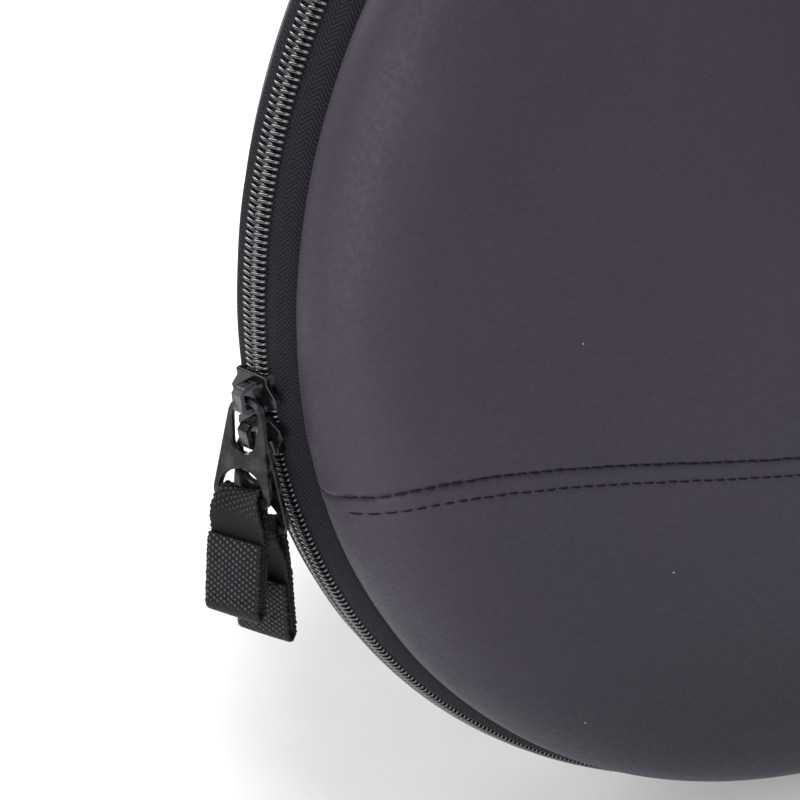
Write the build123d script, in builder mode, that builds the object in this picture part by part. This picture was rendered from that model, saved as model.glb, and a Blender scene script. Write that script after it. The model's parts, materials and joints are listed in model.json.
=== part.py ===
from build123d import *
import os
from math import cos, radians, sin

# Paddle case. Millimetres, +Z up along the case, front panel towards -Y, zip chain in the XZ plane.
# The origin is where a hook carries the hang loop. Outlines are grown or shrunk from the zip line.
# "Front" depths are measured from the zip plane towards -Y, so the back panel has negative depths.

# Outline of the zip line
head_radius = 146.8
taper_angle = 28.0           # where the round head turns into the straight taper, above its centre
taper_length = 138.0
throat_radius = 120.0        # hollow curve from the taper to the straight handle end
handle_length = 62.0
handle_half_width = (
    head_radius * cos(radians(taper_angle))
    - taper_length * sin(radians(taper_angle))
    - throat_radius * (1 - cos(radians(taper_angle)))
)
corner_radius = 34.0
handle_foot = (
    (head_radius + throat_radius) * sin(radians(taper_angle))
    + taper_length * cos(radians(taper_angle))
)
top_height = handle_foot + handle_length + corner_radius
loop_height = 34.0
head_z = -(top_height + loop_height)

# Zip chain
chain_slant = 24.0           # the chain faces outwards and this much forwards
channel_half = 0.5           # half of the gap where the two coils meet
coil_half = 2.9
coil_height = 1.6
tape_thickness = 0.8
front_seam = (-4.9, 6.9)     # growth and front depth where the front panel meets its tape
back_seam = (0.6, -7.5)      # and where the back panel meets its own
back_bend = 5.2              # the back tape turns inwards this far from the middle of the chain
stop_length = 3.0
stop_channel_half = 0.2
stop_margin = 0.4            # how much wider than the coil a stop is
stop_rise = 0.3              # how much higher than the coil a stop is
stop_gap = 0.1
tape_overrun = 4.0           # tape left beyond the end of the coil
gusset_gap = 0.2
zip_end = top_height - corner_radius - 8.0

# Shells: growth and front depth of the outer skin, from the seam inwards
front_profile = [(-4.4, 7.0), (-5.2, 12.0), (-8.5, 18.0), (-15.5, 23.0), (-28.5, 26.5)]
back_profile = [(0.6, -7.7), (0.4, -12.5), (-2.5, -19.0), (-9.0, -23.0)]
belly_radii = (116.0, 50.0)  # low round crown of the front panel over the head
belly_depth = 38.0
fabric = 1.2
foam = 5.0
lining = 0.8
binding_thickness = 1.0
binding_setback = 1.8        # outer edge of a binding, in from the rim of its shell

# Double-stitched seam across the front: half of its line, outwards from the middle, from the head centre
seam_line = [(0, -37.0), (45, -33.7), (90, -28.4), (118, -27.2), (136, -31.8), (160, -44.0)]

# Hang loop
loop_width = 25.0
loop_thickness = 1.6
loop_tail = 26.0
loop_gap = 8.0               # clear space for a hook, front to back
loop_clearance = 0.05        # between the webbing and the back panel
loop_foot = 2.0              # where the legs meet, above the top of the case
loop_slope = 8.0             # the far leg slants down to the sewn tail over this height
zip_y = -(loop_gap / 2 + loop_thickness + loop_clearance - back_profile[-1][1])

# Sliders
slider_angles = {"1": -5.0, "2": -8.35}
nose_sense = {"1": -1, "2": 1}
plate_gap = 2.3              # chain plane to the underside of the top plate
plate_top = 3.3
under_plate = (-2.0, -0.8)
slider_rear = -4.5
slider_nose = 4.0
shoulder_outline = [(-4.5, 4.5), (-2.9, 4.3), (0.1, 6.6), (1.7, 6.1), (4.0, 2.6)]
plate_corner = 0.5
plate_round = 0.3
under_plate_centre = -0.3
under_plate_size = (7.8, 8.6)
under_plate_corner = 1.2
flange_centre = (-2.6, 3.85)
flange_size = (3.4, 0.8)
flange_foot = 0.8
post_centre = 2.4
post_size = (2.6, 0.7)
bail_width = 2.7
bail_strap = 0.9
bail_round = 0.3
bail_top = 7.6
bail_rear = -2.7
bail_nose = 3.3
bar_offsets = {"1": 0.85, "2": -0.2}   # where each pull's top bar rests, along the slider
bar_height = 5.15

# Pull tabs and webbing
pull_heading = 50.0          # turn of the pulls about the vertical, from facing the front
pull_tilt = {"1": 9.0, "2": -3.5}   # lean of the lower end outwards
tab_thickness = 1.34
tab_chamfer = 0.25
ring_radius = 4.0
ring_drop = 3.35
hole_radius = 3.0
hole_drop = 3.5
hole_foot_radius = 2.6
hole_foot_drop = 8.3
tab_half_width = 6.6
slot_radius = 5.0
slot_foot = -19.4
bar_drop = 20.75
tab_foot = -22.1
tab_foot_corner = 2.4
strap_half_width = 6.35
strap_layer = 1.2
strap_loop_half = 4.2        # the webbing is gathered where it passes through the slot
eye_radius = 1.6
strap_shoulder = 24.2        # drops below the hinge: full width, folded end, lower end
strap_fold = 30.0
strap_end = 46.1


def outline_edges(growth):
    """Right-hand half of the zip line, moved outwards by growth, inside the current BuildLine."""
    head = JernArc((0, -head_radius - growth), (1, 0), head_radius + growth, 90 + taper_angle)
    taper = Line(head @ 1, head @ 1 + (head % 1) * taper_length)
    throat = JernArc(taper @ 1, taper % 1, throat_radius - growth, -taper_angle)
    side = Line(throat @ 1, throat @ 1 + Vector(0, handle_length))
    corner = JernArc(side @ 1, (0, 1), corner_radius + growth, 90)
    Line(corner @ 1, (0, top_height + growth))


def front_plane(depth):
    """Plane parallel to the zip plane, its own origin at the head centre."""
    return Plane((0, zip_y - depth, head_z), x_dir=(1, 0, 0), z_dir=(0, -1, 0))


def outline_face(growth, depth):
    with BuildSketch(front_plane(depth)) as section:
        with BuildLine():
            outline_edges(growth)
            mirror(about=Plane.YZ)
        make_face()
    return section.sketch.face()


def stacked(profile):
    """Solid through a stack of outlines, ruled from each one to the next."""
    with BuildPart() as body:
        for low, high in zip(profile, profile[1:]):
            loft(sections=[outline_face(*low), outline_face(*high)], ruled=True)
    return body.part


def inset(profile, thickness):
    """The profile moved inwards by a thickness, square to its own steps."""
    inward = 1 if profile[-1][1] > profile[0][1] else -1
    moved = [(profile[0][0] - thickness, profile[0][1])]
    ends = profile[1:] + [(profile[-1][0] - 20, profile[-1][1])]
    for before, point, after in zip(profile, profile[1:], ends[1:]):
        first = Vector(point[0] - before[0], point[1] - before[1]).normalized()
        second = Vector(after[0] - point[0], after[1] - point[1]).normalized()
        normal = (first + second).normalized()
        reach = thickness / max(first.dot(normal), 0.5)
        moved.append((point[0] - inward * normal.Y * reach, point[1] + inward * normal.X * reach))
    return moved


def belly(thickness):
    """Low round crown over the head, moved inwards by a thickness."""
    with BuildPart() as crown:
        with BuildSketch(front_plane(front_profile[-1][1] - thickness)) as foot:
            Circle(belly_radii[0])
        with BuildSketch(front_plane(belly_depth - thickness)) as top:
            Circle(belly_radii[1])
        loft(sections=[foot.sketch.face(), top.sketch.face()], ruled=True)
    return crown.part


def front_form(thickness):
    return stacked(inset(front_profile, thickness)) + belly(thickness)


def back_form(thickness):
    return stacked(inset(back_profile, thickness))


def chain_point(across, out):
    """Growth and front depth of a point of the slanted chain section."""
    slant = radians(chain_slant)
    return (out * cos(slant) - across * sin(slant), across * cos(slant) + out * sin(slant))


def chain_run(end_height):
    """Zip line from the left end, round the head, to the right end."""
    with BuildLine(front_plane(0)) as run:
        left_side = Line((-handle_half_width, end_height), (-handle_half_width, handle_foot))
        left_throat = JernArc(left_side @ 1, (0, -1), throat_radius, -taper_angle)
        left_taper = Line(left_throat @ 1, left_throat @ 1 + (left_throat % 1) * taper_length)
        head = JernArc(left_taper @ 1, left_taper % 1, head_radius, 180 + 2 * taper_angle)
        right_taper = Line(head @ 1, head @ 1 + (head % 1) * taper_length)
        right_throat = JernArc(right_taper @ 1, right_taper % 1, throat_radius, -taper_angle)
        Line(right_throat @ 1, (handle_half_width, end_height))
    return run.wire()


def top_run(end_height):
    """The rest of the outline, from the left end of the zip over the top to its right end."""
    corner_foot = handle_foot + handle_length
    with BuildLine(front_plane(0)) as run:
        left_side = Line((-handle_half_width, end_height), (-handle_half_width, corner_foot))
        left_corner = JernArc(left_side @ 1, (0, 1), corner_radius, -90)
        top = Line(left_corner @ 1, (handle_half_width - corner_radius, top_height))
        right_corner = JernArc(top @ 1, (1, 0), corner_radius, -90)
        Line(right_corner @ 1, (handle_half_width, end_height))
    return run.wire()


def left_end_plane(end_height):
    """Section plane at the left end of a run: x is growth and y is front depth."""
    return Plane((-handle_half_width, zip_y, head_z + end_height), x_dir=(-1, 0, 0), z_dir=(0, 0, 1))


def section_face(points, end_height):
    with BuildSketch(left_end_plane(end_height)) as section:
        with BuildLine():
            Polyline(*points, close=True)
        make_face()
    return section.sketch.face()


def ringed(points, run, end_height):
    """A constant section of the chain carried along a run of the outline."""
    with BuildPart() as ring:
        sweep(sections=section_face(points, end_height), path=run)
    return ring.part


def finish(part, name):
    part.label = name
    export_step(part, f"parts/{name}.step")


os.makedirs("parts", exist_ok=True)
tape_end = zip_end + tape_overrun
gusset_end = tape_end + gusset_gap
front_skins = [front_form(t) for t in (0, fabric, fabric + foam, fabric + foam + lining)]
back_skins = [back_form(t) for t in (0, fabric, fabric + foam, fabric + foam + lining)]

# Back shell: outer fabric, foam and lining, nested
for skin, name in enumerate(("back_panel", "back_padding", "back_lining")):
    with BuildPart() as back_layer:
        add(back_skins[skin])
        add(back_skins[skin + 1], mode=Mode.SUBTRACT)
    finish(back_layer.part, name)

# Front shell: foam and lining in one piece each, outer fabric cut along the stitched seam
for skin, name in ((1, "front_padding"), (2, "front_lining")):
    with BuildPart() as front_layer:
        add(front_skins[skin])
        add(front_skins[skin + 1], mode=Mode.SUBTRACT)
    finish(front_layer.part, name)

with BuildSketch(front_plane(0)) as below_seam:
    with BuildLine():
        seam = Spline(*[(-x, z) for x, z in seam_line[:0:-1]], *seam_line)
        Polyline(seam @ 1, (seam_line[-1][0], -2 * head_radius), (-seam_line[-1][0], -2 * head_radius), seam @ 0)
    make_face()
for side, name in ((Mode.SUBTRACT, "front_upper_panel"), (Mode.INTERSECT, "front_lower_panel")):
    with BuildPart() as front_panel:
        add(front_skins[0])
        add(front_skins[1], mode=Mode.SUBTRACT)
        extrude(below_seam.sketch, amount=belly_depth + 1, mode=side)
    finish(front_panel.part, name)

# Zip tapes: both halves lie flat beside the coil, then roll inwards to their panels
half_tape = tape_thickness / 2
back_tape_points = [
    chain_point(-channel_half, half_tape),
    chain_point(-back_bend, half_tape),
    (back_seam[0] + half_tape, back_seam[1]),
    (back_seam[0] - half_tape, back_seam[1]),
    chain_point(-back_bend + half_tape, -half_tape),
    chain_point(-channel_half, -half_tape),
]
front_tape_points = [
    chain_point(channel_half, half_tape),
    chain_point(coil_half + half_tape, half_tape),
    (front_seam[0] + half_tape, front_seam[1]),
    (front_seam[0] - half_tape, front_seam[1]),
    chain_point(coil_half, -half_tape),
    chain_point(channel_half, -half_tape),
]
for points, name in ((back_tape_points, "back_zip_tape"), (front_tape_points, "front_zip_tape")):
    with BuildPart() as zip_tape:
        add(ringed(points, chain_run(tape_end), tape_end))
    finish(zip_tape.part, name)

# Coils on the outside of the tapes, and the stops at their four ends
for sense, name in ((-1, "back_coil"), (1, "front_coil")):
    coil_points = [
        chain_point(sense * channel_half, half_tape),
        chain_point(sense * coil_half, half_tape),
        chain_point(sense * coil_half, half_tape + coil_height * 0.6),
        chain_point(sense * (coil_half - 0.7), half_tape + coil_height),
        chain_point(sense * channel_half, half_tape + coil_height),
    ]
    with BuildPart() as coil:
        add(ringed(coil_points, chain_run(zip_end), zip_end))
    finish(coil.part, name)

for sense, name in ((-1, "back_end_stops"), (1, "front_end_stops")):
    stop_points = [
        chain_point(sense * stop_channel_half, half_tape),
        chain_point(sense * (coil_half + stop_margin), half_tape),
        chain_point(sense * (coil_half + stop_margin), half_tape + coil_height + stop_rise),
        chain_point(sense * stop_channel_half, half_tape + coil_height + stop_rise),
    ]
    with BuildPart() as end_stops:
        extrude(section_face(stop_points, zip_end + stop_gap), amount=stop_length)
        mirror(about=Plane.YZ)
    finish(end_stops.part, name)

# Gusset over the top, where the front shell folds open
with BuildPart() as top_gusset:
    gusset_points = [
        (back_seam[0] + half_tape, back_seam[1]),
        (back_seam[0] - half_tape, back_seam[1]),
        (front_seam[0] - half_tape, front_seam[1] - gusset_gap),
        (front_seam[0] + half_tape, front_seam[1] - gusset_gap),
    ]
    add(ringed(gusset_points, top_run(gusset_end), gusset_end))
finish(top_gusset.part, "top_gusset")

# Bindings over the raw edges of each shell, inside the case
shell_thickness = fabric + foam + lining
back_rim = back_profile[0][0]
front_rim = front_profile[0][0]
back_binding_foot = back_profile[0][1] + 0.05
rims = {
    "back_seam_binding": (back_rim, back_binding_foot),
    "front_seam_binding": (front_rim, front_seam[1] - binding_thickness),
}
for name, (rim, low) in rims.items():
    high = low + binding_thickness
    outer = rim - binding_setback
    inner = rim - shell_thickness
    binding_ends = [(outer, low), (outer, high)]
    inner_ends = [(inner, low), (inner, high)]
    with BuildPart() as seam_binding:
        add(stacked(binding_ends))
        add(stacked(inner_ends), mode=Mode.SUBTRACT)
    finish(seam_binding.part, name)

# Hang loop: one webbing folded over and sewn flat to the back panel, with its gap for a hook
with BuildPart() as hang_loop:
    near_y = -loop_gap / 2 - loop_thickness
    far_y = loop_gap / 2 + loop_thickness
    foot_z = -loop_height + loop_foot
    tail_z = foot_z - loop_tail
    with BuildSketch(Plane.YZ.offset(-loop_width / 2)):
        with BuildLine():
            near_side = Line((near_y, tail_z), (near_y, -loop_gap / 2))
            crest = JernArc(near_side @ 1, (0, 1), far_y, -180)
            far_side = Line(crest @ 1, (far_y, foot_z))
            slope = Line(far_side @ 1, (near_y + 2 * loop_thickness, foot_z - loop_slope))
            tail = Line(slope @ 1, (near_y + 2 * loop_thickness, tail_z))
            Line(tail @ 1, near_side @ 0)
        make_face()
    extrude(amount=loop_width)
    with BuildSketch(Plane.YZ.offset(-loop_width / 2)):
        with BuildLine():
            near_wall = Line((-loop_gap / 2, foot_z - loop_slope + 0.4), (-loop_gap / 2, -loop_gap / 2))
            vault = JernArc(near_wall @ 1, (0, 1), loop_gap / 2, -180)
            far_wall = Line(vault @ 1, (loop_gap / 2, foot_z + 0.6))
            Line(far_wall @ 1, near_wall @ 0)
        make_face()
    extrude(amount=loop_width, mode=Mode.SUBTRACT)
finish(hang_loop.part, "hang_loop")


def chain_frame(angle, sense):
    """Plane on the chain at an angle of the head: x along the chain to the nose, z outwards."""
    slant = radians(chain_slant)
    turn = radians(angle)
    outward = Vector(-cos(turn), 0, sin(turn))
    along = Vector(sin(turn), 0, cos(turn)) * sense
    face = outward * cos(slant) + Vector(0, -1, 0) * sin(slant)
    centre = Vector(0, zip_y, head_z) + outward * head_radius
    return Plane(centre, x_dir=along, z_dir=face)


def hanging_frame(origin, tilt):
    """Plane of a hanging pull: x to its right, y up, z out of its face."""
    turn = radians(pull_heading)
    lean = radians(tilt)
    face = Vector(-sin(turn), -cos(turn), 0)
    return Plane(
        origin,
        x_dir=(cos(turn), -sin(turn), 0),
        z_dir=face * cos(lean) + Vector(0, 0, 1) * sin(lean),
    )


for number, angle in slider_angles.items():
    frame = chain_frame(angle, nose_sense[number])
    bar_centre = frame.from_local_coords(Vector(bar_offsets[number], 0, bar_height))
    pull = hanging_frame(bar_centre, pull_tilt[number])

    # Slider body: top plate with shoulders, two side flanges, under plate and the post between them
    with BuildPart() as slider_body:
        with BuildSketch(frame.offset(plate_gap)) as top_plate:
            with BuildLine():
                Polyline((slider_rear, 0), *shoulder_outline, (slider_nose, 0))
                mirror(about=Plane.XZ)
            make_face()
            fillet(top_plate.vertices().filter_by(lambda v: abs(v.Y) > 1), plate_corner)
        extrude(amount=plate_top - plate_gap)
        fillet(slider_body.faces().sort_by(Axis(frame.origin, frame.z_dir))[-1].edges(), plate_round)
        with BuildSketch(frame.offset(under_plate[0])) as lower_plate:
            with Locations((under_plate_centre, 0)):
                RectangleRounded(*under_plate_size, under_plate_corner)
        extrude(amount=under_plate[1] - under_plate[0])
        with BuildSketch(frame.offset(flange_foot)) as flanges:
            with Locations(flange_centre, (flange_centre[0], -flange_centre[1])):
                Rectangle(*flange_size)
        extrude(amount=plate_gap - flange_foot)
        with BuildSketch(frame.offset(under_plate[1])) as post:
            with Locations((post_centre, 0)):
                Rectangle(*post_size)
        extrude(amount=plate_gap - under_plate[1])
    finish(slider_body.part, f"slider_{number}_body")

    # Bail: a flat bent strap standing on the top plate
    with BuildPart() as bail:
        side = Plane(frame.origin, x_dir=frame.x_dir, z_dir=-frame.y_dir)
        with BuildSketch(side.offset(-bail_width / 2)) as strap:
            with BuildLine():
                Polyline(
                    (bail_rear, plate_top), (bail_rear + 0.1, bail_top - 1.3), (bail_rear + 1.2, bail_top),
                    (bail_nose - 0.9, bail_top), (bail_nose, bail_top - 1.2), (bail_nose, plate_top),
                    (bail_nose - bail_strap, plate_top), (bail_nose - bail_strap, bail_top - 1.5),
                    (bail_nose - bail_strap - 0.4, bail_top - bail_strap),
                    (bail_rear + bail_strap + 0.5, bail_top - bail_strap),
                    (bail_rear + bail_strap, bail_top - 1.7), (bail_rear + bail_strap, plate_top),
                    close=True,
                )
            make_face()
            fillet(strap.vertices().filter_by(lambda corner: corner.Y > 5), bail_round)
        extrude(amount=bail_width)
    finish(bail.part, f"slider_{number}_bail")

    # Pull tab: a ring for the bail, widening to a D-shaped slot for the webbing
    back_face = pull.offset(-tab_thickness / 2)
    with BuildPart() as pull_tab:
        with BuildSketch(back_face):
            with Locations((0, -ring_drop)):
                Circle(ring_radius)
            with GridLocations(2 * (tab_half_width - tab_foot_corner), 0, 2, 1):
                with Locations((0, tab_foot + tab_foot_corner)):
                    Circle(tab_foot_corner)
            make_hull()
        extrude(amount=tab_thickness)
        with BuildSketch(back_face):
            with Locations((0, -hole_drop)):
                Circle(hole_radius)
            with Locations((0, -hole_foot_drop)):
                Circle(hole_foot_radius)
            make_hull()
        extrude(amount=tab_thickness, mode=Mode.SUBTRACT)
        with BuildSketch(back_face):
            with BuildLine():
                slot_arc = ThreePointArc(
                    (-slot_radius, slot_foot), (0, slot_foot + slot_radius), (slot_radius, slot_foot)
                )
                Line(slot_arc @ 1, slot_arc @ 0)
            make_face()
        extrude(amount=tab_thickness, mode=Mode.SUBTRACT)
        chamfer(pull_tab.faces().sort_by(Axis(pull.origin, pull.z_dir))[-1].edges(), tab_chamfer)
    finish(pull_tab.part, f"slider_{number}_pull_tab")

    # Webbing pull: folded round the tab's lower bar, its end folded once more
    across = Plane(pull.origin, x_dir=pull.z_dir, z_dir=pull.x_dir)
    eye_outer = eye_radius + strap_layer
    with BuildPart() as webbing_pull:
        with BuildSketch(across.offset(-strap_loop_half)):
            with Locations((0, bar_drop)):
                Circle(eye_outer)
            with Locations((0, bar_drop + eye_outer)):
                Rectangle(2 * strap_layer, 2 * strap_layer)
        extrude(amount=2 * strap_loop_half)
        with BuildSketch(across.offset(-strap_half_width)):
            with Locations((0, (strap_shoulder + strap_end) / 2)):
                Rectangle(2 * strap_layer, strap_end - strap_shoulder)
            with Locations((strap_layer / 2, (strap_fold + strap_end) / 2)):
                Rectangle(3 * strap_layer, strap_end - strap_fold)
        extrude(amount=2 * strap_half_width)
        with BuildSketch(across.offset(-strap_half_width)):
            with Locations((0, bar_drop)):
                Circle(eye_radius)
        extrude(amount=2 * strap_half_width, mode=Mode.SUBTRACT)
    finish(webbing_pull.part, f"slider_{number}_webbing_pull")
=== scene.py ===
import json
from math import cos, pi, radians, sin

import bmesh
import bpy
import numpy as np
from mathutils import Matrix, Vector
from mathutils.geometry import delaunay_2d_cdt


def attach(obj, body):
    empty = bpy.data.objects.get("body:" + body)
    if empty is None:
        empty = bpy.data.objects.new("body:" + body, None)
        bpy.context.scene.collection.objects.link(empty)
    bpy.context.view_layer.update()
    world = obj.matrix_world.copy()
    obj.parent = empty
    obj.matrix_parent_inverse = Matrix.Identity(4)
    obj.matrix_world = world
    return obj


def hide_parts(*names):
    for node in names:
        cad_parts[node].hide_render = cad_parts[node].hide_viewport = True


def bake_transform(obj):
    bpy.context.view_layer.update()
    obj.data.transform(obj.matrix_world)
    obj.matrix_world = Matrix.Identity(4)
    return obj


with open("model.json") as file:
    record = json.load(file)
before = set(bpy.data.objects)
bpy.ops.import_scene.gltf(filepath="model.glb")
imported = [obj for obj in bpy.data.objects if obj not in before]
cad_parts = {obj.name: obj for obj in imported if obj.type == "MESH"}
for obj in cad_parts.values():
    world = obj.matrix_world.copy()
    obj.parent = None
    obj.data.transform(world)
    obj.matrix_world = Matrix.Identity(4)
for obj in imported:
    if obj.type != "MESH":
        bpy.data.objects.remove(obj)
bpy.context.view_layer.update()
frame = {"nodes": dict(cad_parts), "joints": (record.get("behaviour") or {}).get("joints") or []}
rng = np.random.default_rng(7)
MM = 0.001  # sizes are worked out in millimetres and made in metres

# ---------------------------------------------------------------- outline, in millimetres
HEAD_R, TAPER, TAPER_LEN = 146.8, radians(28), 138.0
THROAT_R, HANDLE_LEN, CORNER_R = 120.0, 62.0, 34.0
HANDLE_X = HEAD_R * cos(TAPER) - TAPER_LEN * sin(TAPER) - THROAT_R * (1 - cos(TAPER))
HANDLE_FOOT = (HEAD_R + THROAT_R) * sin(TAPER) + TAPER_LEN * cos(TAPER)
TOP = HANDLE_FOOT + HANDLE_LEN + CORNER_R
HEAD_Z, ZIP_Y = -(TOP + 34.0), -28.65
ZIP_END = TOP - CORNER_R - 8.0
SLANT = radians(24)

S_HEAD = HEAD_R * (pi / 2 + TAPER)
S_TAPER = S_HEAD + TAPER_LEN
S_THROAT = S_TAPER + THROAT_R * TAPER
S_SIDE = S_THROAT + HANDLE_LEN
S_CORNER = S_SIDE + CORNER_R * pi / 2
S_TOP = S_CORNER + HANDLE_X - CORNER_R
S_ZIP = S_THROAT + ZIP_END - HANDLE_FOOT
THROAT_C = (
    (HEAD_R + THROAT_R) * cos(TAPER) - TAPER_LEN * sin(TAPER),
    (HEAD_R + THROAT_R) * sin(TAPER) + TAPER_LEN * cos(TAPER),
)


def zip_line(run):
    """x, z and outward normal of the zip line; run is measured from the bottom, positive to the right."""
    run = (np.asarray(run, float) + S_TOP) % (2 * S_TOP) - S_TOP
    side = np.where(run < 0, -1.0, 1.0)
    s = abs(run)
    parts = [s < S_HEAD, s < S_TAPER, s < S_THROAT, s < S_SIDE, s < S_CORNER]
    turn = np.select(
        parts,
        [
            s / HEAD_R - pi / 2,
            TAPER + 0 * s,
            TAPER - (s - S_TAPER) / THROAT_R,
            0 * s,
            (s - S_SIDE) / CORNER_R,
        ],
        pi / 2,
    )
    on_taper = s - S_HEAD
    x = np.select(
        parts,
        [
            HEAD_R * np.cos(turn),
            HEAD_R * cos(TAPER) - on_taper * sin(TAPER),
            THROAT_C[0] - THROAT_R * np.cos(turn),
            HANDLE_X + 0 * s,
            HANDLE_X - CORNER_R + CORNER_R * np.cos(turn),
        ],
        HANDLE_X - CORNER_R - (s - S_CORNER),
    )
    z = np.select(
        parts,
        [
            HEAD_R * np.sin(turn),
            HEAD_R * sin(TAPER) + on_taper * cos(TAPER),
            THROAT_C[1] - THROAT_R * np.sin(turn),
            HANDLE_FOOT + s - S_THROAT,
            TOP - CORNER_R + CORNER_R * np.sin(turn),
        ],
        TOP + 0 * s,
    )
    return side * x, z, side * np.cos(turn), np.sin(turn)


def place(run, growth, depth):
    """Points in metres, from a run along the zip line, a growth outwards and a depth to the front."""
    x, z, nx, nz = zip_line(run)
    return np.stack([x + growth * nx, ZIP_Y - depth + 0 * x, z + growth * nz + HEAD_Z], -1) * MM


def chain(across, out):
    """Growth and depth of a point of the slanted zip chain."""
    return (out * cos(SLANT) - across * sin(SLANT), across * cos(SLANT) + out * sin(SLANT))


def inside(x, z):
    """How far a point is inside the zip line; z is measured from the head centre."""
    x = abs(x)
    angle = np.arctan2(z, np.maximum(x, 1e-9))
    far = 1e9
    head = np.where(angle <= TAPER, HEAD_R - np.hypot(x, z), far)
    along = (x - HEAD_R * cos(TAPER)) * -sin(TAPER) + (z - HEAD_R * sin(TAPER)) * cos(TAPER)
    taper = (HEAD_R * cos(TAPER) - x) * cos(TAPER) + (HEAD_R * sin(TAPER) - z) * sin(TAPER)
    taper = np.where((along >= 0) & (along <= TAPER_LEN), taper, far)
    back = np.arctan2(THROAT_C[1] - z, np.maximum(THROAT_C[0] - x, 1e-9))
    throat = np.hypot(THROAT_C[0] - x, THROAT_C[1] - z) - THROAT_R
    throat = np.where((back >= 0) & (back <= TAPER), throat, far)
    side = np.where(z >= HANDLE_FOOT, HANDLE_X - x, far)
    cx, cz = x - (HANDLE_X - CORNER_R), z - (TOP - CORNER_R)
    corner = np.where((cx > 0) & (cz > 0), CORNER_R - np.hypot(cx, cz), far)
    top = np.where(z > HANDLE_FOOT, TOP - z, far)
    return np.minimum.reduce([head, taper, throat, side, corner, top])


def smooth_line(points, count):
    """Catmull-Rom line through points, sampled evenly by length."""
    p = np.asarray(points, float)
    p = np.vstack([2 * p[0] - p[1], p, 2 * p[-1] - p[-2]])
    t = np.linspace(0, 1, 24, endpoint=False)[:, None]
    out = []
    for a, b, c, d in zip(p, p[1:], p[2:], p[3:]):
        square, cube = 2 * a - 5 * b + 4 * c - d, 3 * b - a - 3 * c + d
        out.append(0.5 * (2 * b + (c - a) * t + square * t**2 + cube * t**3))
    line = np.vstack(out + [p[-2:-1]])
    reach = np.r_[0, np.cumsum(np.linalg.norm(np.diff(line, axis=0), axis=1))]
    even = np.linspace(0, reach[-1], count)
    return np.stack([np.interp(even, reach, line[:, k]) for k in range(line.shape[1])], -1)


def bell(value, width):
    return np.exp(-((value / width) ** 2))


def ease(value):
    value = np.clip(value, 0, 1)
    return value * value * (3 - 2 * value)


# ---------------------------------------------------------------- meshes
def make(name, points, faces, body, material, cloth=None, stands_for=(), thick=0.0, closed=False):
    mesh = bpy.data.meshes.new(name)
    mesh.from_pydata(np.asarray(points).tolist(), [], faces)
    if cloth is not None:
        layer = mesh.attributes.new("cloth", "FLOAT_VECTOR", "POINT")
        layer.data.foreach_set("vector", np.ascontiguousarray(cloth, dtype=np.float32).ravel())
    mesh.polygons.foreach_set("use_smooth", [True] * len(mesh.polygons))
    mesh.materials.append(material)
    mesh.validate()
    if closed:
        shape = bmesh.new()
        shape.from_mesh(mesh)
        bmesh.ops.recalc_face_normals(shape, faces=shape.faces)
        shape.to_mesh(mesh)
        shape.free()
    mesh.update()
    piece = bpy.data.objects.new(name, mesh)
    bpy.context.scene.collection.objects.link(piece)
    if thick:
        solid = piece.modifiers.new("thickness", "SOLIDIFY")
        solid.thickness = thick
        solid.offset = -1
    if body:
        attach(piece, body)
    if stands_for:
        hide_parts(*stands_for)
    return piece


def grid_faces(rows, columns, rows_close=False, columns_close=False, flip=False, start=0):
    faces = []
    for i in range(rows if rows_close else rows - 1):
        for j in range(columns if columns_close else columns - 1):
            a, b = start + i * columns, start + ((i + 1) % rows) * columns
            k = (j + 1) % columns
            quad = (a + j, b + j, b + k, a + k)
            faces.append(quad[::-1] if flip else quad)
    return faces


def swept(name, runs, section, body, material, closed=False, stands_for=(), wave=None):
    """A closed section of (growth, depth) points carried along the zip line."""
    section = np.asarray(section, float)
    runs = np.asarray(runs, float)
    rows, columns = len(runs), len(section)
    around = np.r_[0, np.cumsum(np.linalg.norm(np.diff(section, axis=0), axis=1))]
    growth = np.repeat(section[None, :, 0], rows, 0)
    depth = np.repeat(section[None, :, 1], rows, 0)
    if wave is not None:
        growth, depth = wave(runs[:, None], growth, depth)
    points = place(np.repeat(runs[:, None], columns, 1), growth, depth).reshape(-1, 3)
    cloth = np.stack(
        [np.repeat(runs, columns), np.tile(around, rows), np.zeros(rows * columns)], -1
    )
    faces = grid_faces(rows, columns, rows_close=closed, columns_close=True)
    if not closed:
        faces.append(tuple(range(columns)))
        faces.append(tuple(range((rows - 1) * columns, rows * columns))[::-1])
    return make(name, points, faces, body, material, cloth, stands_for, closed=True)


def thickened(line, thickness):
    """Closed section: a line and its copy set off to its right."""
    line = np.asarray(line, float)
    step = np.gradient(line, axis=0)
    step /= np.linalg.norm(step, axis=1)[:, None]
    off = line + np.stack([step[:, 1], -step[:, 0]], -1) * thickness
    return np.vstack([line, off[::-1]])


# ---------------------------------------------------------------- materials
def add(tree, kind, sockets=None, **settings):
    node = tree.nodes.new(kind)
    for key, value in settings.items():
        setattr(node, key, value)
    for key, value in (sockets or {}).items():
        if isinstance(value, bpy.types.NodeSocket):
            tree.links.new(value, node.inputs[key])
        else:
            node.inputs[key].default_value = value
    return node


def calc(tree, operation, a, b=0.0, c=0.0):
    return add(tree, "ShaderNodeMath", {0: a, 1: b, 2: c}, operation=operation).outputs[0]


def ramp(tree, value, low, high, out_low=0.0, out_high=1.0):
    return add(
        tree, "ShaderNodeMapRange",
        {"Value": value, "From Min": low, "From Max": high, "To Min": out_low, "To Max": out_high},
        interpolation_type="SMOOTHSTEP",
    ).outputs["Result"]


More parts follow.
